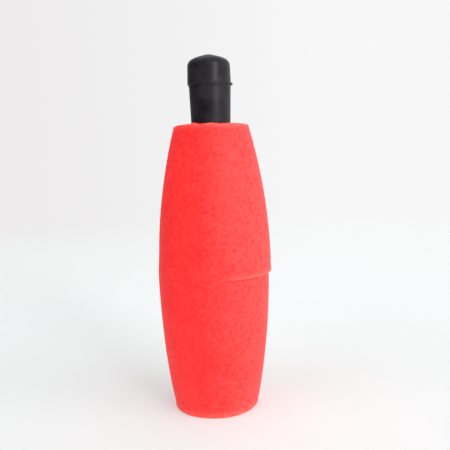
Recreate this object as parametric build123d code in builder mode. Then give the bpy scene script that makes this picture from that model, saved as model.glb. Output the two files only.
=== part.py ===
"""Bobber float: a barrel shaped foam body with a line tube and a tapered locking peg.

The float stands upright on its flat bottom, +Z up, in millimetres. The origin is the
centre of the bottom, and Z is the axis that the fishing line runs along. The line
comes up through the tube and out of the top, and the peg wedges it in the socket.
"""

import os
from math import asin, degrees, tan, radians

from build123d import *

# Foam body
body_length = 63.5
belly_radius = 12.7  # upper half, at the seam
seam_height = 31.0
upper_bow_radius = 120.3  # of the arc from the seam to the top
lower_bow_radius = 154.0  # of the arc from the seam to the bottom
lower_belly_radius = 12.5
lower_half_shift = 0.4  # the lower half sits off the axis, towards -X
top_edge_radius = 0.45
bottom_edge_radius = 0.7
upper_lip_radius = 0.2  # rounded rims on both sides of the seam
lower_lip_radius = 0.15
mouth_gap = 0.25  # foam round the peg at the top face

# Peg
peg_tip_height = 43.5
peg_radius_at_top_face = 4.33  # where the peg enters the foam
peg_draft = 1.75  # degrees, half angle of the taper
peg_tip_edge = 0.5
flash_height = 72.35  # middle of the moulding line between shank and head
flash_thickness = 0.3
flash_radius = 5.05
head_bottom_radius = 4.77
head_rim_radius = 4.68
head_rim_height = 77.1
head_dome_rise = 1.5
head_edge_radius = 0.9
head_shift = 0.12  # the head's half of the mould sits off the axis, towards -X
peg_core_radius = 2.2
peg_core_depth = 24.0
peg_travel = 22.0  # seated to clear of the body

# Line tube
socket_clearance = 0.05  # radial, between peg and socket
tube_wall = 0.75  # round the socket
socket_rim_height = 62.4
socket_floor_height = 43.0
socket_floor_thickness = 0.9
socket_lead_in = 0.3
line_bore_radius = 1.6
stem_radius = 2.6
stem_bottom_height = 0.4
line_mouth_radius = 0.4

AXIS_PLANE = Plane.XZ
pick_tolerance = 0.1  # finds an edge by its height


def peg_radius(height):
    """Radius of the peg's taper at a height."""
    return peg_radius_at_top_face + (height - body_length) * tan(radians(peg_draft))


def socket_radius(height):
    """Inside radius of the tube's socket at a height."""
    return peg_radius(height) + socket_clearance


def socket_outer_radius(height):
    """Outside radius of the tube's socket at a height."""
    return socket_radius(height) + tube_wall


def shifted_plane(shift):
    """The XZ plane, moved towards -X."""
    return Plane(origin=(-shift, 0, 0), x_dir=(1, 0, 0), z_dir=(0, -1, 0))


def shifted_axis(shift):
    """The Z axis, moved towards -X."""
    return Axis((-shift, 0, 0), (0, 0, 1))


socket_shoulder_height = socket_floor_height - socket_floor_thickness
mouth_radius = peg_radius_at_top_face + mouth_gap

os.makedirs("parts", exist_ok=True)


# Upper foam half: bowed outside, stepped hole for the tube, narrow mouth over its rim
upper_bow_angle = degrees(asin((body_length - seam_height) / upper_bow_radius))

with BuildPart() as upper_foam_half:
    with BuildSketch(AXIS_PLANE):
        with BuildLine():
            bow = JernArc(
                start=(belly_radius, seam_height),
                tangent=(0, 1),
                radius=upper_bow_radius,
                arc_size=upper_bow_angle,
            )
            Polyline(
                bow @ 1,
                (mouth_radius, body_length),
                (mouth_radius, socket_rim_height),
                (socket_outer_radius(socket_rim_height), socket_rim_height),
                (socket_outer_radius(socket_shoulder_height), socket_shoulder_height),
                (stem_radius, socket_shoulder_height),
                (stem_radius, seam_height),
                bow @ 0,
            )
        make_face()
    revolve(axis=Axis.Z)
    top_rim = upper_foam_half.edges().group_by(Axis.Z)[-1].sort_by(SortBy.RADIUS)[-1]
    fillet(top_rim, radius=top_edge_radius)
    seam_rim = upper_foam_half.edges().group_by(Axis.Z)[0].sort_by(SortBy.RADIUS)[-1]
    fillet(seam_rim, radius=upper_lip_radius)

upper_foam_half.part.label = "upper_foam_half"
export_step(upper_foam_half.part, "parts/upper_foam_half.step")


# Lower foam half: its outside stands off the axis, its hole does not
lower_bow_angle = degrees(asin(seam_height / lower_bow_radius))

with BuildPart() as lower_foam_half:
    with BuildSketch(shifted_plane(lower_half_shift)):
        with BuildLine():
            lower_bow = JernArc(
                start=(lower_belly_radius, seam_height),
                tangent=(0, -1),
                radius=lower_bow_radius,
                arc_size=-lower_bow_angle,
            )
            Polyline(lower_bow @ 1, (0, 0), (0, seam_height), lower_bow @ 0)
        make_face()
    revolve(axis=shifted_axis(lower_half_shift))
    rims = lower_foam_half.edges().filter_by(GeomType.CIRCLE).sort_by(Axis.Z)
    fillet(rims[0], radius=bottom_edge_radius)
    fillet(rims[-1], radius=lower_lip_radius)
    with Locations((0, 0, seam_height)):
        Hole(radius=stem_radius)

lower_foam_half.part.label = "lower_foam_half"
export_step(lower_foam_half.part, "parts/lower_foam_half.step")


# Line tube: a stem with the line's bore, and the tapered socket on top
with BuildPart() as line_tube:
    with BuildSketch(AXIS_PLANE):
        with BuildLine():
            Polyline(
                (line_bore_radius, stem_bottom_height),
                (stem_radius, stem_bottom_height),
                (stem_radius, socket_shoulder_height),
                (socket_outer_radius(socket_shoulder_height), socket_shoulder_height),
                (socket_outer_radius(socket_rim_height), socket_rim_height),
                (socket_radius(socket_rim_height), socket_rim_height),
                (socket_radius(socket_floor_height), socket_floor_height),
                (line_bore_radius, socket_floor_height),
                close=True,
            )
        make_face()
    revolve(axis=Axis.Z)
    circles = line_tube.edges().filter_by(GeomType.CIRCLE)
    bottom_mouth = circles.group_by(Axis.Z)[0].sort_by(SortBy.RADIUS)[0]
    fillet(bottom_mouth, radius=line_mouth_radius)
    floor_mouth = (
        line_tube.edges()
        .filter_by(GeomType.CIRCLE)
        .filter_by_position(
            Axis.Z,
            socket_floor_height - pick_tolerance,
            socket_floor_height + pick_tolerance,
        )
        .sort_by(SortBy.RADIUS)[0]
    )
    fillet(floor_mouth, radius=line_mouth_radius)
    socket_mouth = (
        line_tube.edges()
        .filter_by(GeomType.CIRCLE)
        .group_by(Axis.Z)[-1]
        .sort_by(SortBy.RADIUS)[0]
    )
    chamfer(socket_mouth, length=socket_lead_in)

line_tube.part.label = "line_tube"
export_step(line_tube.part, "parts/line_tube.step")


# Peg: cored tapered shank, moulding line, and a low domed head slightly off the axis
flash_bottom = flash_height - flash_thickness / 2
flash_top = flash_height + flash_thickness / 2

with BuildPart() as peg:
    with BuildSketch(AXIS_PLANE):
        with BuildLine():
            Polyline(
                (0, peg_tip_height),
                (peg_radius(peg_tip_height), peg_tip_height),
                (peg_radius(flash_bottom), flash_bottom),
                (flash_radius, flash_bottom),
                (flash_radius, flash_top),
                (0, flash_top),
                close=True,
            )
        make_face()
    revolve(axis=Axis.Z)
    tip_rim = peg.edges().filter_by(GeomType.CIRCLE).sort_by(Axis.Z)[0]
    fillet(tip_rim, radius=peg_tip_edge)
    with BuildSketch(shifted_plane(head_shift)):
        with BuildLine():
            Polyline(
                (0, head_rim_height + head_dome_rise),
                (0, flash_top),
                (head_bottom_radius, flash_top),
                (head_rim_radius, head_rim_height),
            )
            dome_radius = (head_rim_radius**2 + head_dome_rise**2) / (2 * head_dome_rise)
            RadiusArc(
                (head_rim_radius, head_rim_height),
                (0, head_rim_height + head_dome_rise),
                -dome_radius,
            )
        make_face()
    revolve(axis=shifted_axis(head_shift))
    head_rim = (
        peg.edges()
        .filter_by(GeomType.CIRCLE)
        .filter_by_position(
            Axis.Z,
            head_rim_height - pick_tolerance,
            head_rim_height + pick_tolerance,
        )
    )
    fillet(head_rim, radius=head_edge_radius)
    with Locations(Plane.XY.offset(peg_tip_height).rotated((180, 0, 0))):
        Hole(radius=peg_core_radius, depth=peg_core_depth)

peg.part.label = "peg"
export_step(peg.part, "parts/peg.step")

for piece in (upper_foam_half, lower_foam_half, line_tube, peg):
    box = piece.part.bounding_box()
    print(
        f"{piece.part.label}: {piece.part.volume:.1f} mm3, "
        f"z {box.min.Z:.2f} to {box.max.Z:.2f}, width {box.size.X:.2f}"
    )
tip_clearance = peg_tip_height + peg_travel - body_length
print(f"peg travel {peg_travel} mm leaves the tip {tip_clearance:.1f} mm clear")
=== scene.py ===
"""The bobber float's looks: pebbled foam halves, moulded black peg, natural line tube.

Shapes are worked out in millimetres and made in metres. The skins follow their CAD
solids to within 0.7 mm, and nothing leaves the CAD box.
"""

from math import asin, cos, exp, hypot, pi, radians, sin, sqrt, tau

import bmesh
import bpy
from mathutils import Matrix, Vector, noise


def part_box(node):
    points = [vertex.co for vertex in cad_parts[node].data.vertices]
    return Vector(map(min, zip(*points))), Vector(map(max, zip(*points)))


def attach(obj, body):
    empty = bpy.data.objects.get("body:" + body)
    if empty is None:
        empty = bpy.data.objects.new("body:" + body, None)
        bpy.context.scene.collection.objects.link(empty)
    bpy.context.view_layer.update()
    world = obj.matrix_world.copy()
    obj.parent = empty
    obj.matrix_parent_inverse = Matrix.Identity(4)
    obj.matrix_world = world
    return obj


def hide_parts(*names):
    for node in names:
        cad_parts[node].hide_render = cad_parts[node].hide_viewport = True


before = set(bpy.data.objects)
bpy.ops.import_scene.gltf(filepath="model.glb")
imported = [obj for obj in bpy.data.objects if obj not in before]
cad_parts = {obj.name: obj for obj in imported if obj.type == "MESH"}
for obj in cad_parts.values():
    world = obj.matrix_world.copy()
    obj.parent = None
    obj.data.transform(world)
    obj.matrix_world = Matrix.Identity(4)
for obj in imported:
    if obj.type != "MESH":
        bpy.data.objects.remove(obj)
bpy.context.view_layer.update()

MM = 0.001

# ---------------------------------------------------------------- sizes, from the frame
upper_low, upper_high = (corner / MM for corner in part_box("upper_foam_half"))
lower_low, lower_high = (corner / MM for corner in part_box("lower_foam_half"))
_, tube_high = (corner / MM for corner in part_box("line_tube"))
peg_low, peg_high = (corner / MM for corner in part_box("peg"))

TOP = upper_high.z
SEAM = upper_low.z
UPPER_BELLY = upper_high.x
LOWER_BELLY = (lower_high.x - lower_low.x) / 2
LOWER_SHIFT = (lower_low.x + lower_high.x) / 2
PEG_TIP = peg_low.z
PEG_TOP = peg_high.z
FLASH_REACH = peg_high.x
TUBE_RIM = tube_high.z

# The rest of the shape, in millimetres
UPPER_BOW = 120.3  # radius of the side's arc above the seam
LOWER_BOW = 154.0  # and below it
TOP_EDGE = 0.5
BOTTOM_EDGE = 0.75
UPPER_LIP = 0.22
LOWER_LIP = 0.18
PEG_AT_TOP = 4.33  # the peg's radius at the foam's top
PEG_SLOPE = 0.03055  # tangent of the taper's half angle
SOCKET_WALL = 0.8  # from the peg's side to the tube's outside
MOUTH = PEG_AT_TOP + 0.25
MOUTH_EDGE = 0.25
SOCKET_SHOULDER = 42.1
STEM = 2.6
BORE_EDGE = 0.4  # of the foam's hole, at the bottom
FLASH_Z = 72.35
FLASH_HALF = 0.15  # half the moulding line's thickness
HEAD_SHIFT = -0.12
HEAD_FOOT = 4.77
HEAD_RIM = 4.68
HEAD_RIM_Z = 77.1
HEAD_EDGE = 1.0
PEG_CORE = 2.2
PEG_CORE_TOP = 67.5
PEG_TIP_EDGE = 0.5


def peg_radius(z):
    """Radius of the peg's taper at a height."""
    return PEG_AT_TOP + (z - TOP) * PEG_SLOPE


# ---------------------------------------------------------------- outlines
class Outline:
    """Points of a turned shape's section: radius, height, centre in X and skin weight.

    The skin weight says how much of the foam's relief a point takes.
    """

    def __init__(self):
        self.points = []

    def add(self, radius, z, centre=0.0, skin=0.0):
        self.points.append((radius, z, centre, skin))

    def run(self, start, end, step, centre=0.0, skin=0.0, end_centre=None):
        """A straight stretch from start to just before end. Its centre may move to end_centre on the way."""
        count = max(1, round(hypot(end[0] - start[0], end[1] - start[1]) / step))
        drift = 0.0 if end_centre is None else end_centre - centre
        for i in range(count):
            t = i / count
            radius, z = start[0] + (end[0] - start[0]) * t, start[1] + (end[1] - start[1]) * t
            self.add(radius, z, centre + drift * t, skin)

    def arc(self, middle, radius, start, end, count, centre=0.0, skin=0.0):
        """A round stretch about middle, from the angle start to just before end."""
        for i in range(count):
            a = start + (end - start) * i / count
            self.add(middle[0] + radius * cos(a), middle[1] + radius * sin(a), centre, skin)


def bow_point(belly, bow, rise):
    """Radius of a bowed side at a distance along the axis from its widest place."""
    return belly - bow + sqrt(bow * bow - rise * rise)


def bow_run(outline, belly, bow, start, end, count, centre, skin):
    """The bowed side between two heights, from start to just before end."""
    for i in range(count):
        z = start + (end - start) * i / count
        outline.add(bow_point(belly, bow, z - SEAM), z, centre, skin)


# ---------------------------------------------------------------- turned meshes
def turned(name, outline, segments, shape=None, ends=None):
    """A piece turned from an outline. shape moves each point and gives its wear and painted highlight, and
    its pit depth and painted shade.

    The outline is a closed loop, or ends gives the height and the centre in X of the middle
    point that closes its first and its last ring, with None for a ring that stays open.
    """
    rings = len(outline.points)
    vertices, values = [], []
    for radius, z, centre, skin in outline.points:
        for j in range(segments):
            angle = tau * j / segments
            point, value = (radius, z), (0.0, 0.0)
            if shape:
                point, value = shape(radius, z, angle, centre, skin)
            x, y = centre + point[0] * cos(angle), point[0] * sin(angle)
            vertices.append((x * MM, y * MM, point[1] * MM))
            values.append(value)
    faces = []
    for i in range(rings - 1 if ends else rings):
        for j in range(segments):
            a, b, k = i * segments, (i + 1) % rings * segments, (j + 1) % segments
            faces.append((a + j, a + k, b + k, b + j))
    for ring, end in zip((0, rings - 1), ends or ()):
        if end is None:
            continue
        for j in range(segments):
            a, k = ring * segments, (j + 1) % segments
            faces.append((a + j, a + k, len(vertices)))
        vertices.append((end[1] * MM, 0, end[0] * MM))
        values.append((0.0, 0.0))
    mesh = bpy.data.meshes.new(name)
    mesh.from_pydata(vertices, [], faces)
    for index, label in enumerate(("wear_and_highlight", "pit_and_shade")):
        layer = mesh.attributes.new(label, "FLOAT", "POINT")
        layer.data.foreach_set("value", [value[index] for value in values])
    shell = bmesh.new()
    shell.from_mesh(mesh)
    bmesh.ops.recalc_face_normals(shell, faces=shell.faces)
    shell.to_mesh(mesh)
    shell.free()
    mesh.shade_smooth()
    piece = bpy.data.objects.new(name, mesh)
    bpy.context.scene.collection.objects.link(piece)
    return piece


# ---------------------------------------------------------------- foam skin
CELL = 0.85  # width of the foam skin's pebbles
CELL_DEPTH = 0.030
CELL_EDGE = 0.55  # width of the slope between two pebbles, as a share of their width
WAVE = 9.0  # length of the slow unevenness
WAVE_DEPTH = 0.05
PIT_SPACING = 2.2
PIT_WIDTH = 0.34
PIT_DEPTH = 0.07
PIT_SHARE = 0.45  # of the places where a burst cell could be
PIT_LOT_SCALE = 7.3  # this and the next draw which places have one
PIT_LOT_AT = Vector((3.1, 5.7, 1.9))
PIT_FLOOR = 0.25  # width of a pit's flat floor, as a share of its width


def smooth(low, high, x):
    """0 below low, 1 above high, and a smooth step between."""
    t = min(1.0, max(0.0, (x - low) / (high - low)))
    return t * t * (3 - 2 * t)


def pebbles(p):
    """Depth of the pebbled relief below the skin, from 0 to 1."""
    distances, _ = noise.voronoi(p / CELL)
    gap = distances[1] - distances[0]
    return 1 - smooth(0.0, CELL_EDGE, gap)


def pit_and_shade(p):
    """Depth of a burst cell, from 0 to 1, which also sets how much painted shade the cell gets. The cells'
    widths vary from 0.6 to 1.4 times PIT_WIDTH.
    """
    distances, places = noise.voronoi(p / PIT_SPACING)
    lot = 0.5 + 0.5 * noise.cell(places[0] * PIT_LOT_SCALE + PIT_LOT_AT)
    if lot > PIT_SHARE:
        return 0.0
    width = PIT_WIDTH * (0.6 + 0.8 * lot / PIT_SHARE) / PIT_SPACING
    return 1 - smooth(PIT_FLOOR * width, width, distances[0])


def skin_relief(radius, z, angle, centre, skin):
    """How deep the skin lies below the outline, in millimetres, and the pit's depth from 0 to 1, which also
    sets the pit's painted shade.
    """
    p = Vector((centre + radius * cos(angle), radius * sin(angle), z))
    wave = 0.5 + 0.5 * noise.noise(p / WAVE)
    hole = pit_and_shade(p)
    depth = WAVE_DEPTH * wave + CELL_DEPTH * pebbles(p) + PIT_DEPTH * hole
    return depth * skin, hole * skin


# Seam
SEAM_RAGGED = 0.05  # how far the rims wander along the axis
RAGGED_RATE = 5.0  # how fast they wander round it
UPPER_RAGGED_AT = Vector((0, 0, 2.4))
LOWER_RAGGED_AT = Vector((0, 0, 7.9))
UPPER_RIM = 0.65  # height of the ragged rim on each side of the seam; above the seam it is also the height of the painted highlight on the upper lip at +X
LOWER_RIM = 0.5
LIP_FLARE = 0.09  # depth of the hollow above the upper lip, which makes it stand out
FLARE_HEIGHT = 1.7
FLARE_WIDTH = 0.9
BOND_REACH = 2.6  # height over which the upper half meets the lower half where the seam is closed
HAIRLINE = 0.02  # depth of the closed seam
HAIRLINE_WIDTH = 0.1
SEAM_SHADE = 0.6  # painted shade: how dark the foam is painted under the open seam, where the upper lip overhangs
SEAM_SHADE_WIDTH = 0.35

# Foot
FOOT_FULL = 0.28  # the foot is fuller at -X
FOOT_FULL_LOW = 2.0  # the fullness fades out between these heights
FOOT_FULL_HIGH = 22.0
FOOT_FULL_INNER = 4.0  # and it sets in between these radii, so the hole stays round
FOOT_FULL_OUTER = 8.0
FOOT_WORN = 0.5  # height of the most worn line
FOOT_WORN_WIDTH = 0.8

# Top
DIPS = (  # of the top rim: degrees, depth
    (254, 0.36), (286, 0.26), (18, 0.20), (71, 0.30), (133, 0.22), (196, 0.16),
)
DIP_WIDTH = radians(5.5)
DIP_HEIGHT = 1.6  # of the foam below the top that is pressed down too
TOP_WORN_WIDTH = 0.7
TOP_WORN_INNER = MOUTH + 2  # the wear sets in between these radii
TOP_WORN_OUTER = MOUTH + 3
COLLAR_RISE = 0.62  # foam pushed up round the peg
COLLAR_WIDTH = 0.8
COLLAR_MIDDLE = 0.35  # from the mouth
COLLAR_REACH = 2.2
COLLAR_ROOT = 0.7  # height below the top where the collar begins
COLLAR_LEVEL = 0.38  # mean height and unevenness, as shares of the rise
COLLAR_RIPPLE = 0.75
COLLAR_RIPPLE_RATE = 2.9
COLLAR_RIPPLE_AT = Vector((1.7, 0, 0))
MOUTH_RAGGED = 0.09
MOUTH_RAGGED_RATE = 6.0
MOUTH_RAGGED_AT = Vector((0, 4.0, 0))
LEVEL_TOLERANCE = 0.01  # tells the top face and the lower lip by their height


def bell(x, width):
    """1 at 0, falling off on both sides over a width."""
    return exp(-((x / width) ** 2))


def wander(around, rate, at):
    """Noise from 0 to 1 round the axis."""
    return 0.5 + 0.5 * noise.noise(around * rate + at)


def seam_open(angle):
    """1 at +X, where the seam's step shows, and 0 over the front, left and back, where it is closed."""
    return smooth(0.0, 0.5, cos(angle))


def step_out(angle):
    """How far the lower half's rim stands outside the upper half's, in millimetres."""
    reach = LOWER_SHIFT * cos(angle) + sqrt(LOWER_BELLY**2 - (LOWER_SHIFT * sin(angle)) ** 2)
    return reach - UPPER_BELLY


def top_dip(angle):
    """How far the top rim is pressed down."""
    depth = 0.0
    for where, deep in DIPS:
        off = (angle - radians(where) + pi) % tau - pi
        depth = max(depth, deep * bell(off, DIP_WIDTH))
    return depth


def upper_shape(radius, z, angle, centre, skin):
    """Relief of the upper half: pebbled skin, flared lip, ragged rim and the collar round the peg."""
    depth, hole = skin_relief(radius, z, angle, centre, skin)
    around = Vector((cos(angle), sin(angle), 0))
    opened = seam_open(angle)
    rim = bell(z - SEAM, UPPER_RIM) if skin > 0 else 0.0
    flare = bell(z - SEAM - FLARE_HEIGHT, FLARE_WIDTH) * skin
    r = radius - depth - LIP_FLARE * flare * opened
    up = SEAM_RAGGED * rim * opened * wander(around, RAGGED_RATE, UPPER_RAGGED_AT)
    if skin > 0 and z < SEAM + UPPER_LIP + 3 * BOND_REACH:
        side = bow_point(UPPER_BELLY, UPPER_BOW, z - SEAM) - depth
        closed = (1 - opened) * bell(z - SEAM, BOND_REACH)
        r += (1 - opened) * max(0.0, side - r)
        r += closed * step_out(angle) - HAIRLINE * (1 - opened) * bell(z - SEAM, HAIRLINE_WIDTH)
    outside_collar = smooth(MOUTH + 0.3, MOUTH + COLLAR_REACH, radius)
    up -= top_dip(angle) * smooth(TOP - DIP_HEIGHT, TOP, z) * outside_collar
    if z > TOP - COLLAR_ROOT and radius < MOUTH + COLLAR_REACH:
        ripple = COLLAR_LEVEL + COLLAR_RIPPLE * noise.noise(around * COLLAR_RIPPLE_RATE + COLLAR_RIPPLE_AT)
        near = bell(radius - MOUTH - COLLAR_MIDDLE, COLLAR_WIDTH)
        up += COLLAR_RISE * near * min(1.0, max(0.0, ripple)) * smooth(TOP - COLLAR_ROOT, TOP, z)
        r += MOUTH_RAGGED * noise.noise(around * MOUTH_RAGGED_RATE + MOUTH_RAGGED_AT) * near
    top_wear = bell(z - TOP, TOP_WORN_WIDTH) * smooth(TOP_WORN_INNER, TOP_WORN_OUTER, radius)
    # painted highlight: the upper lip's rim is paler at +X, where the light catches it; the top's outer edge
    # is real wear
    wear_and_highlight = max(rim * opened, top_wear)
    if z > TOP - LEVEL_TOLERANCE and skin > 0:  # on the top face the relief goes down, not inwards
        up -= depth
        r += depth
    return (r, z + up), (wear_and_highlight, hole)


def lower_shape(radius, z, angle, centre, skin):
    """Relief of the lower half: pebbled skin, ragged rim and a fuller foot with a worn edge."""
    depth, hole = skin_relief(radius, z, angle, centre, skin)
    around = Vector((cos(angle), sin(angle), 0))
    opened = seam_open(angle)
    rim = bell(z - SEAM, LOWER_RIM) if skin > 0 else 0.0
    r = radius - depth
    full = FOOT_FULL * (2 - smooth(0, BOTTOM_EDGE, z)) * smooth(0.1, 0.9, -cos(angle))
    full *= 1 - smooth(FOOT_FULL_LOW, FOOT_FULL_HIGH, z)
    r += full * smooth(FOOT_FULL_INNER, FOOT_FULL_OUTER, radius)
    # painted shade: darker under the open seam, where the upper lip overhangs
    seam_shade = SEAM_SHADE * bell(z - SEAM, SEAM_SHADE_WIDTH) * opened if skin > 0 else 0.0
    down = SEAM_RAGGED * rim * opened * wander(around, RAGGED_RATE, LOWER_RAGGED_AT)
    if skin > 0 and z > SEAM - LOWER_LIP - LEVEL_TOLERANCE:
        side = bow_point(LOWER_BELLY, LOWER_BOW, SEAM - z) - depth
        r += (1 - opened) * (max(0.0, side - r) - HAIRLINE * bell(z - SEAM, HAIRLINE_WIDTH))
    wear_and_highlight = bell(z - FOOT_WORN, FOOT_WORN_WIDTH) if skin > 0 else 0.0
    return (r, z - down), (wear_and_highlight, max(hole, seam_shade))


FOAM_SEGMENTS = 372
SKIN_STEP = 0.23  # between the rings of the side
LIP_SKIN = 0.4  # skin weights of the lips, the edges and the top face
EDGE_SKIN = 0.7
TOP_SKIN = 0.6
LIP_INSET = 0.5  # where the rings begin to follow the lower half's shift
FOOT_INSET = 1.2  # and where they begin to return from it


def upper_outline():
    """Section of the upper half, from the seam up the outside, over the top and down the hole."""
    o = Outline()
    lip = UPPER_BELLY - UPPER_LIP
    o.run((STEM, SEAM), (lip, SEAM), 1.6)
    o.arc((lip, SEAM + UPPER_LIP), UPPER_LIP, -pi / 2, 0, 5, 0, LIP_SKIN)
    low, high = SEAM + UPPER_LIP, TOP - TOP_EDGE
    bow_run(o, UPPER_BELLY, UPPER_BOW, low, high, round((high - low) / SKIN_STEP), 0, 1)
    lean = asin((high - SEAM) / UPPER_BOW)
    face = bow_point(UPPER_BELLY, UPPER_BOW, high - SEAM) - TOP_EDGE * cos(lean)
    o.arc((face, TOP - TOP_EDGE), TOP_EDGE, lean, pi / 2, 6, 0, EDGE_SKIN)
    o.run((face, TOP), (MOUTH + MOUTH_EDGE, TOP), 0.2, 0, TOP_SKIN)
    o.arc((MOUTH + MOUTH_EDGE, TOP - MOUTH_EDGE), MOUTH_EDGE, pi / 2, pi, 5)
    o.run((MOUTH, TOP - MOUTH_EDGE), (MOUTH, TUBE_RIM), 0.3)
    rim = peg_radius(TUBE_RIM) + SOCKET_WALL
    shoulder = peg_radius(SOCKET_SHOULDER) + SOCKET_WALL
    o.run((MOUTH, TUBE_RIM), (rim, TUBE_RIM), 0.3)
    o.run((rim, TUBE_RIM), (shoulder, SOCKET_SHOULDER), 2)
    o.run((shoulder, SOCKET_SHOULDER), (STEM, SOCKET_SHOULDER), 1)
    o.run((STEM, SOCKET_SHOULDER), (STEM, SEAM), 2)
    return o


def lower_outline():
    """Section of the lower half, from the bottom up the hole, across the seam and down the outside."""
    o = Outline()
    c = LOWER_SHIFT
    lip = LOWER_BELLY - LOWER_LIP
    o.run((STEM, 0), (STEM, SEAM), 2)
    o.run((STEM, SEAM), (lip - LIP_INSET, SEAM), 1.6)
    o.run((lip - LIP_INSET, SEAM), (lip, SEAM), 0.25, c)
    o.arc((lip, SEAM - LOWER_LIP), LOWER_LIP, pi / 2, 0, 5, c, LIP_SKIN)
    high, low = SEAM - LOWER_LIP, BOTTOM_EDGE
    bow_run(o, LOWER_BELLY, LOWER_BOW, high, low, round((high - low) / SKIN_STEP), c, 1)
    lean = asin((SEAM - low) / LOWER_BOW)
    foot = bow_point(LOWER_BELLY, LOWER_BOW, SEAM - BOTTOM_EDGE)
    o.arc((foot - BOTTOM_EDGE * cos(lean), BOTTOM_EDGE), BOTTOM_EDGE, -lean, -pi / 2, 8, c, EDGE_SKIN)
    face = foot - BOTTOM_EDGE
    o.run((face, 0), (face - FOOT_INSET, 0), 0.3, c)
    o.run((face - FOOT_INSET, 0), (STEM + BORE_EDGE, 0), 0.5, c, end_centre=0.0)
    o.arc((STEM + BORE_EDGE, BORE_EDGE), BORE_EDGE, -pi / 2, -pi, 4, 0)
    return o


# ---------------------------------------------------------------- materials
def material(name):
    """A new material, its node tree and its Principled shader."""
    made = bpy.data.materials.new(name)
    made.use_nodes = True
    return made, made.node_tree, made.node_tree.nodes["Principled BSDF"]


def node(tree, kind, inputs=None, **settings):
    """A shader node with its settings, and its inputs set to values or linked from sockets."""
    made = tree.nodes.new(kind)
    for key, value in settings.items():
        setattr(made, key, value)
    for key, value in (inputs or {}).items():
        if isinstance(value, bpy.types.NodeSocket):
            tree.links.new(value, made.inputs[key])
        else:
            made.inputs[key].default_value = value
    return made


def place_in_mm(tree):
    """Coordinates on the piece, in millimetres."""
    at = node(tree, "ShaderNodeTexCoord")
    return stretch(tree, at.outputs["Object"], (1 / MM, 1 / MM, 1 / MM))


def stretch(tree, place, factors):
    """Coordinates multiplied by a factor on each axis."""
    made = node(tree, "ShaderNodeVectorMath", {0: place, 1: factors}, operation="MULTIPLY")
    return made.outputs["Vector"]


def axes(tree, place):
    """The separate X, Y and Z of coordinates."""
    return node(tree, "ShaderNodeSeparateXYZ", {"Vector": place}).outputs


def calculate(tree, operation, first, second):
    """The result of a math operation on two values."""
    return node(tree, "ShaderNodeMath", {0: first, 1: second}, operation=operation).outputs["Value"]


def grain(tree, place, size, detail=2.0, roughness=0.5):
    """Noise with features of a size in millimetres, from 0 to 1."""
    made = node(
        tree, "ShaderNodeTexNoise",
        {"Vector": place, "Scale": 1 / size, "Detail": detail, "Roughness": roughness},
    )
    return made.outputs["Fac"]


def remap(tree, value, low, high, to_low=0.0, to_high=1.0):
    """A value's range low to high, stretched to another range and clamped."""
    made = node(
        tree, "ShaderNodeMapRange",
        {"Value": value, "From Min": low, "From Max": high, "To Min": to_low, "To Max": to_high},
    )
    return made.outputs["Result"]


MIX_FIRST, MIX_SECOND, MIX_COLOUR = 6, 7, 2  # the colour sockets of a Mix node


def mix_colour(tree, factor, first, second):
    """Two colours mixed by a factor. Each is a value or a socket."""
    made = node(
        tree, "ShaderNodeMix",
        {"Factor": factor, MIX_FIRST: first, MIX_SECOND: second}, data_type="RGBA",
    )
    return made.outputs[MIX_COLOUR]


def attribute(tree, name):
    """A value that the mesh holds at its points."""
    return node(tree, "ShaderNodeAttribute", attribute_name=name).outputs["Fac"]


def bump(tree, height, depth_mm, strength, normal=None):
    """A bump of a depth in millimetres, on top of another."""
    inputs = {"Height": height, "Distance": depth_mm * MM, "Strength": strength}
    if normal is not None:
        inputs["Normal"] = normal
    return node(tree, "ShaderNodeBump", inputs).outputs["Normal"]


RED = (0.87, 0.020, 0.020, 1)
DEEP_RED = (0.81, 0.011, 0.011, 1)
PALE_RED = (0.90, 0.052, 0.047, 1)
# the colour of the painted light towards +X and the foot
PAINTED_LIGHT_RED = (0.90, 0.075, 0.068, 1)
# paler for wear, and for the painted highlight on the upper lip
WEAR_AND_HIGHLIGHT_RED = (0.93, 0.15, 0.12, 1)
DOT_RED = (0.66, 0.004, 0.005, 1)
# painted shade in the pits and under the open seam
PAINTED_SHADE_RED = (0.62, 0.006, 0.006, 1)
BROAD_SIZE = 5.5  # sizes of the foam's mottling, in millimetres
SPECK_SIZE = 0.95
FOAM_FINE_SIZE = 0.16
FOAM_SCUFF_SIZE = 1.3
DOT_SPACING = 1.0
SKIN_CELL_SIZE = 0.42


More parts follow.
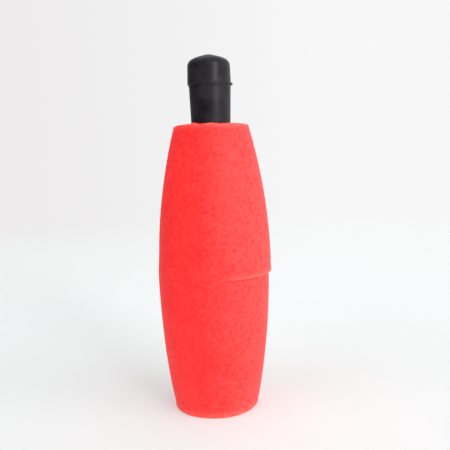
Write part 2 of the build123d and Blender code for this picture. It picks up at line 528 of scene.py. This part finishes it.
def foam_material():
    """Closed-cell foam: mottled red with fine grain and darker dots, painted shade in the pits and under the
    open seam, paler worn edges, a painted highlight on the upper lip at +X, and painted light that makes it
    paler towards +X and the foot.
    """
    made, tree, shader = material("closed_cell_foam_red")
    place = place_in_mm(tree)
    specks = grain(tree, place, SPECK_SIZE, 3, 0.6)
    fine = grain(tree, place, FOAM_FINE_SIZE, 2)

    broad = remap(tree, grain(tree, place, BROAD_SIZE, 3), 0.32, 0.68)
    at = axes(tree, place)
    # painted light: paler towards +X, the side the key light comes from, and towards the foot
    painted_light_side = remap(tree, at["X"], -3, 13, 0, 0.55)
    painted_light_foot = remap(tree, at["Z"], 9, 1, 0, 0.20)
    painted_light = calculate(tree, "ADD", painted_light_side, painted_light_foot)
    colour = mix_colour(tree, broad, DEEP_RED, RED)
    colour = mix_colour(tree, painted_light, colour, PAINTED_LIGHT_RED)
    colour = mix_colour(tree, remap(tree, specks, 0.50, 0.68, 0, 0.42), colour, PALE_RED)
    colour = mix_colour(tree, remap(tree, specks, 0.48, 0.34, 0, 0.9), colour, DEEP_RED)
    colour = mix_colour(tree, remap(tree, fine, 0.35, 0.7, 0, 0.20), colour, PALE_RED)

    dots = node(tree, "ShaderNodeTexVoronoi", {"Vector": place, "Scale": 1 / DOT_SPACING, "Randomness": 1.0})
    lot = node(tree, "ShaderNodeSeparateColor", {"Color": dots.outputs["Color"]}).outputs["Red"]
    reach = remap(tree, lot, 0, 1, 0.04, 0.46)
    inside = calculate(tree, "SUBTRACT", reach, dots.outputs["Distance"])
    colour = mix_colour(tree, remap(tree, inside, -0.16, 0.20, 0, 0.48), colour, DOT_RED)

    # paler where the foam is worn at the top's edge and the foot, and a painted highlight on the upper lip at
    # +X
    scuff = remap(tree, grain(tree, place, FOAM_SCUFF_SIZE, 4, 0.7), 0.34, 0.60, 0.25, 1)
    scuffed_wear_and_highlight = calculate(tree, "MULTIPLY", attribute(tree, "wear_and_highlight"), scuff)
    colour = mix_colour(tree, remap(tree, scuffed_wear_and_highlight, 0, 0.9, 0, 0.45), colour, WEAR_AND_HIGHLIGHT_RED)
    # painted shade: darker in the pits and under the open seam
    colour = mix_colour(tree, remap(tree, attribute(tree, "pit_and_shade"), 0, 1, 0, 0.5), colour, PAINTED_SHADE_RED)
    tree.links.new(colour, shader.inputs["Base Color"])
    tree.links.new(remap(tree, specks, 0.3, 0.7, 0.5, 0.72), shader.inputs["Roughness"])

    cells = node(
        tree, "ShaderNodeTexVoronoi",
        {"Vector": place, "Scale": 1 / SKIN_CELL_SIZE, "Randomness": 1.0}, feature="SMOOTH_F1",
    ).outputs["Distance"]
    normal = bump(tree, cells, 0.14, 0.6)
    normal = bump(tree, fine, 0.03, 0.3, normal)
    normal = bump(tree, specks, 0.30, 0.55, normal)
    tree.links.new(normal, shader.inputs["Normal"])
    shader.inputs["Specular IOR Level"].default_value = 0.30
    shader.inputs["Sheen Weight"].default_value = 0.04
    shader.inputs["Sheen Roughness"].default_value = 0.4
    shader.inputs["Sheen Tint"].default_value = (1, 0.75, 0.7, 1)
    return made


BLACK = (0.0055, 0.005, 0.006, 1)
GREY_BLACK = (0.015, 0.0135, 0.017, 1)
SCUFFED_BLACK = (0.05, 0.047, 0.052, 1)
CLOUD_SIZE = 3.2  # sizes of the peg's mottling, in millimetres
PEG_FINE_SIZE = 0.14
PEG_STREAK_SIZE = 0.35
PEG_STREAK_STRETCH = (1, 1, 0.12)
PEG_SCUFF_SIZE = 0.8
PEG_DENT_SIZE = 1.1


def peg_material():
    """Satin black moulded plastic with a slight grain, flow marks and rubbed edges."""
    made, tree, shader = material("moulded_plastic_black")
    place = place_in_mm(tree)
    cloud = grain(tree, place, CLOUD_SIZE, 3)
    fine = grain(tree, place, PEG_FINE_SIZE, 2)
    streaks = grain(tree, stretch(tree, place, PEG_STREAK_STRETCH), PEG_STREAK_SIZE, 3, 0.6)

    colour = mix_colour(tree, remap(tree, cloud, 0.35, 0.65), BLACK, GREY_BLACK)
    scuff = remap(tree, grain(tree, place, PEG_SCUFF_SIZE, 4, 0.7), 0.4, 0.6)
    scuffed_wear_and_highlight = calculate(tree, "MULTIPLY", attribute(tree, "wear_and_highlight"), scuff)
    colour = mix_colour(tree, remap(tree, scuffed_wear_and_highlight, 0, 1, 0, 0.6), colour, SCUFFED_BLACK)
    tree.links.new(colour, shader.inputs["Base Color"])
    cloudy = remap(tree, cloud, 0.3, 0.7, 0.34, 0.42)
    streaky = remap(tree, streaks, 0.3, 0.7, 0, 0.08)
    tree.links.new(calculate(tree, "ADD", cloudy, streaky), shader.inputs["Roughness"])

    normal = bump(tree, fine, 0.010, 0.3)
    normal = bump(tree, streaks, 0.015, 0.25, normal)
    normal = bump(tree, grain(tree, place, PEG_DENT_SIZE, 3), 0.025, 0.4, normal)
    tree.links.new(normal, shader.inputs["Normal"])
    shader.inputs["Specular IOR Level"].default_value = 0.19
    return made


NATURAL = (0.74, 0.72, 0.66, 1)
NATURAL_DEEP = (0.62, 0.60, 0.53, 1)
TUBE_STREAK_SIZE = 0.9
TUBE_STREAK_STRETCH = (1, 1, 0.1)
TUBE_FINE_SIZE = 0.2


def tube_material():
    """Uncoloured polypropylene: milky, with faint flow marks along its length."""
    made, tree, shader = material("natural_polypropylene")
    place = place_in_mm(tree)
    streaks = grain(tree, stretch(tree, place, TUBE_STREAK_STRETCH), TUBE_STREAK_SIZE, 3)
    fine = grain(tree, place, TUBE_FINE_SIZE, 2)
    colour = mix_colour(tree, remap(tree, streaks, 0.35, 0.65), NATURAL_DEEP, NATURAL)
    tree.links.new(colour, shader.inputs["Base Color"])
    tree.links.new(remap(tree, fine, 0.3, 0.7, 0.34, 0.5), shader.inputs["Roughness"])
    tree.links.new(bump(tree, fine, 0.012, 0.3), shader.inputs["Normal"])
    shader.inputs["Subsurface Weight"].default_value = 0.25
    shader.inputs["Subsurface Radius"].default_value = (1, 0.95, 0.8)
    shader.inputs["Subsurface Scale"].default_value = 1.2 * MM
    return made


# ---------------------------------------------------------------- peg
PEG_SEGMENTS = 180
FLASH_LEAST = 0.12  # the moulding line's height away from +X, as a share of its full height
FLASH_RAISED_FROM = 0.72  # cosine of the angle from +X where the line starts to rise
FLASH_RAGGED = 0.10
FLASH_RAGGED_RATE = 4.0
FLASH_RAGGED_AT = Vector((0, 0, 5.2))
FLASH_WORN = 0.4
SINK_DEPTH = 0.012  # slow unevenness of the moulding
SINK_LENGTH = 2.5
RIM_WORN = 0.5
RIM_WORN_WIDTH = 0.35
RIM_WORN_FROM = 3.6  # radius
SHANK_LIFT = 0.06  # the shank flares out by this much into the moulding line
SHANK_LIFT_HEIGHT = 0.75
HEAD_FOOT_HEIGHT = 0.45  # top of the head's straight stretch, above the moulding line's middle
FLASH_SECTION = (  # height, as a share of half the thickness, and share of the full reach
    (-1.0, 0.0), (-0.9, 0.7), (-0.55, 0.95), (0.0, 1.0), (0.55, 0.95), (0.9, 0.7),
)
GATE_RADIUS = 1.3  # mark of the moulding gate on the dome
GATE_RISE = 0.05
GATE_SECTION = (  # radius past GATE_RADIUS, and share of the rise from the dome to the peg's top
    (0.15, 0.1), (0.05, 0.35), (-0.05, 0.65), (-0.15, 0.9), (-0.25, 1.0), (-0.85, 0.9),
)
GATE_MARGIN = 0.25  # between the dome's last ring and GATE_RADIUS


def peg_shape(radius, z, angle, centre, skin):
    """The moulding line is raised more at +X, and its edge is uneven. Skin marks that line's points."""
    around = Vector((cos(angle), sin(angle), 0))
    r = radius
    if skin > 0:
        ragged = noise.noise(around * FLASH_RAGGED_RATE + FLASH_RAGGED_AT)
        raised = smooth(FLASH_RAISED_FROM, 1.0, cos(angle))
        standing = FLASH_LEAST + (1 - FLASH_LEAST) * raised + FLASH_RAGGED * ragged
        r = HEAD_FOOT + (radius - HEAD_FOOT) * min(1.0, max(0.02, standing)) * skin
    place = Vector((r * cos(angle), r * sin(angle), z))
    sink = SINK_DEPTH * (0.5 + 0.5 * noise.noise(place / SINK_LENGTH))
    rim = RIM_WORN * bell(z - HEAD_RIM_Z - 0.1, RIM_WORN_WIDTH) if radius > RIM_WORN_FROM else 0.0
    return (r - sink, z), (max(FLASH_WORN * skin, rim), 0.0)


def peg_outline():
    """Section of the peg: down the core, round the tip, up the taper and over the head."""
    o = Outline()
    core_edge = 0.15
    o.run((0.3, PEG_CORE_TOP), (PEG_CORE, PEG_CORE_TOP), 0.6)
    o.run((PEG_CORE, PEG_CORE_TOP), (PEG_CORE, PEG_TIP + core_edge), 1.5)
    o.run((PEG_CORE, PEG_TIP + core_edge), (PEG_CORE + core_edge, PEG_TIP), 0.1)
    tip = peg_radius(PEG_TIP)
    o.run((PEG_CORE + core_edge, PEG_TIP), (tip - PEG_TIP_EDGE, PEG_TIP), 0.3)
    o.arc((tip - PEG_TIP_EDGE, PEG_TIP + PEG_TIP_EDGE), PEG_TIP_EDGE, -pi / 2, 0, 6)

    lift_z = FLASH_Z - SHANK_LIFT_HEIGHT
    shank = peg_radius(FLASH_Z - FLASH_HALF)
    o.run((tip, PEG_TIP + PEG_TIP_EDGE), (peg_radius(lift_z), lift_z), 0.5)
    o.run((peg_radius(lift_z), lift_z), (shank + SHANK_LIFT, FLASH_Z - FLASH_HALF), 0.1)
    for t, lift in FLASH_SECTION:
        foot = shank if t < 0 else HEAD_FOOT
        o.add(foot + (FLASH_REACH - foot) * lift, FLASH_Z + t * FLASH_HALF, 0, 1 if lift > 0 else 0)

    head_z = FLASH_Z + HEAD_FOOT_HEIGHT
    rim_low = HEAD_RIM_Z - HEAD_EDGE
    o.run((HEAD_FOOT, FLASH_Z + FLASH_HALF), (HEAD_FOOT, head_z), 0.1, HEAD_SHIFT)
    o.run((HEAD_FOOT, head_z), (HEAD_RIM, rim_low), 0.35, HEAD_SHIFT)

    rise = PEG_TOP - GATE_RISE - HEAD_RIM_Z
    dome = (HEAD_RIM**2 + rise**2) / (2 * rise)
    middle = PEG_TOP - GATE_RISE - dome

    def dome_z(r):
        """Height of the dome at a radius."""
        return middle + sqrt(dome**2 - r * r)

    blend_r = HEAD_RIM - 0.75 * HEAD_EDGE
    corner_z = HEAD_RIM_Z - 0.05
    edge_steps, dome_steps = 8, 14
    for i in range(edge_steps):  # the rim's edge is a quadratic curve
        t = i / edge_steps
        r = (1 - t) ** 2 * HEAD_RIM + 2 * t * (1 - t) * HEAD_RIM + t * t * blend_r
        z = (1 - t) ** 2 * rim_low + 2 * t * (1 - t) * corner_z + t * t * dome_z(blend_r)
        o.add(r, z, HEAD_SHIFT)
    for i in range(dome_steps + 1):
        r = blend_r + (GATE_RADIUS + GATE_MARGIN - blend_r) * i / dome_steps
        o.add(r, dome_z(r), HEAD_SHIFT)
    for off, lift in GATE_SECTION:
        r = GATE_RADIUS + off
        o.add(r, dome_z(r) + (PEG_TOP - dome_z(r)) * lift, HEAD_SHIFT)
    return o


def make_peg():
    """The peg, closed at the core's end and with a shallow dimple in the middle of the gate mark."""
    ends = ((PEG_CORE_TOP, 0), (PEG_TOP - 0.25 * GATE_RISE, HEAD_SHIFT))
    return turned("peg_moulded", peg_outline(), PEG_SEGMENTS, peg_shape, ends)


# ---------------------------------------------------------------- the pieces
foam = foam_material()
black = peg_material()
natural = tube_material()

upper = turned("upper_foam", upper_outline(), FOAM_SEGMENTS, upper_shape)
upper.data.materials.append(foam)
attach(upper, "float_body")
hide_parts("upper_foam_half")

lower = turned("lower_foam", lower_outline(), FOAM_SEGMENTS, lower_shape)
lower.data.materials.append(foam)
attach(lower, "float_body")
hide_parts("lower_foam_half")

peg = make_peg()
peg.data.materials.append(black)
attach(peg, "peg")
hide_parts("peg")

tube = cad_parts["line_tube"]
tube.material_slots[0].material = natural


# ---------------------------------------------------------------- studio
FLOOR_GAP = 0.03  # millimetres, so that the foot's face doesn't lie in the floor's
FLOOR_REACH = 0.45  # metres
FLOOR_SOLID = 0.10  # the floor fades into the room from here to its rim
FLOOR_RINGS = 15  # millimetres between the floor's rings
FLOOR_SEGMENTS = 96
# painted shade: the paper is darker towards -X
PAPER_LEFT = (0.43, 0.455, 0.457, 1)
PAPER_RIGHT = (0.46, 0.49, 0.49, 1)
PAPER_CLOUD = (0.48, 0.51, 0.51, 1)
PAPER_GLOW = (1.0, 1.0, 1.0, 1)  # light that comes through the paper
PAPER_GLOW_LEVEL = 0.325
PAPER_CLOUD_SIZE = 60
SKY_LEFT = (0.85, 0.835, 0.84, 1)
SKY_RIGHT = (0.935, 0.93, 0.935, 1)
ROOM_LIGHT = (1.0, 0.985, 0.99, 1)
ROOM_LEAN = (0.7, 0.25, 0.65)  # towards the bright side of the room
ROOM_LOW = 0.12
ROOM_HIGH = 0.98


def floor_material():
    """Pale paper with painted shade towards -X, which fades out towards its rim."""
    made, tree, shader = material("floor_paper")
    place = place_in_mm(tree)
    cloud = grain(tree, place, PAPER_CLOUD_SIZE, 3)
    # painted shade: darker towards -X
    side = remap(tree, axes(tree, place)["X"], -60, 40)
    colour = mix_colour(tree, side, PAPER_LEFT, PAPER_RIGHT)
    colour = mix_colour(tree, remap(tree, cloud, 0.3, 0.7, 0, 0.1), colour, PAPER_CLOUD)
    tree.links.new(colour, shader.inputs["Base Color"])
    shader.inputs["Roughness"].default_value = 0.9
    shader.inputs["Specular IOR Level"].default_value = 0.1
    shader.inputs["Emission Color"].default_value = PAPER_GLOW
    shader.inputs["Emission Strength"].default_value = PAPER_GLOW_LEVEL
    away = node(tree, "ShaderNodeVectorMath", {0: place}, operation="LENGTH").outputs["Value"]
    solid = remap(tree, away, FLOOR_SOLID / MM, FLOOR_REACH / MM, 1, 0)
    tree.links.new(solid, shader.inputs["Alpha"])
    return made


def make_floor():
    """A round floor."""
    o = Outline()
    o.run((1, -FLOOR_GAP), (FLOOR_REACH / MM, -FLOOR_GAP), FLOOR_RINGS)
    piece = turned("floor", o, FLOOR_SEGMENTS, ends=((-FLOOR_GAP, 0), None))
    piece.data.materials.append(floor_material())


def sun(name, azimuth, elevation, softness, strength, colour, glossy=True):
    """A soft distant light. Azimuth 0 is at the front and positive to the right. Angles are in degrees."""
    light = bpy.data.lights.new(name, "SUN")
    light.energy = strength * pi
    light.angle = radians(softness)
    light.color = colour
    lamp = bpy.data.objects.new(name, light)
    lamp.visible_glossy = glossy
    a, e = radians(azimuth), radians(elevation)
    back = Vector((sin(a) * cos(e), -cos(a) * cos(e), sin(e)))
    lamp.rotation_euler = back.to_track_quat("Z", "Y").to_euler()
    bpy.context.scene.collection.objects.link(lamp)


def make_world():
    """A pale room. The camera sees it nearly even, and its light is stronger from above, right and behind."""
    world = bpy.data.worlds.new("studio")
    world.use_nodes = True
    tree = world.node_tree
    seen = tree.nodes["Background"]
    at = node(tree, "ShaderNodeTexCoord").outputs["Generated"]
    side = remap(tree, axes(tree, at)["X"], -0.3, 0.2)
    tree.links.new(mix_colour(tree, side, SKY_LEFT, SKY_RIGHT), seen.inputs["Color"])
    lean = node(tree, "ShaderNodeVectorMath", {0: at, 1: ROOM_LEAN}, operation="DOT_PRODUCT")
    level = remap(tree, lean.outputs["Value"], -0.6, 0.6, ROOM_LOW, ROOM_HIGH)
    lit = node(tree, "ShaderNodeBackground", {"Strength": level, "Color": ROOM_LIGHT})
    camera_ray = node(tree, "ShaderNodeLightPath").outputs["Is Camera Ray"]
    both = node(tree, "ShaderNodeMixShader", {0: camera_ray, 1: lit.outputs[0], 2: seen.outputs[0]})
    tree.links.new(both.outputs[0], tree.nodes["World Output"].inputs["Surface"])
    bpy.context.scene.world = world


make_floor()
make_world()
sun("key", 62, 12, 50, 1.0, (1.0, 0.985, 0.975), glossy=False)
sun("window", 34, 15, 18, 0.50, (1.0, 0.99, 0.985))
sun("fill", -62, 15, 60, 0.58, (1.0, 0.98, 0.98), glossy=False)

bpy.context.scene.view_settings.view_transform = "Standard"
bpy.context.scene.view_settings.look = "None"

# ---------------------------------------------------------------- camera
CAMERA_DISTANCE = 0.120  # metres
CAMERA_HEIGHT = 0.0549
CAMERA_DOWN = radians(6.46)
CAMERA_RIGHT = radians(1.17)
CAMERA_ROLL = radians(-1.67)
CAMERA_LENS = 42.8

camera_data = bpy.data.cameras.new("camera")
camera_data.lens = CAMERA_LENS
camera_data.sensor_width = 36
camera_data.clip_start = 0.01
camera_data.clip_end = 10
camera = bpy.data.objects.new("camera", camera_data)
turn = Matrix.Rotation(-CAMERA_RIGHT, 4, "Z")
tilt = Matrix.Rotation(pi / 2 - CAMERA_DOWN, 4, "X")
roll = Matrix.Rotation(CAMERA_ROLL, 4, "Z")
camera.matrix_world = Matrix.Translation((0, -CAMERA_DISTANCE, CAMERA_HEIGHT)) @ turn @ tilt @ roll
bpy.context.scene.collection.objects.link(camera)
bpy.context.scene.camera = camera

bpy.context.view_layer.update()
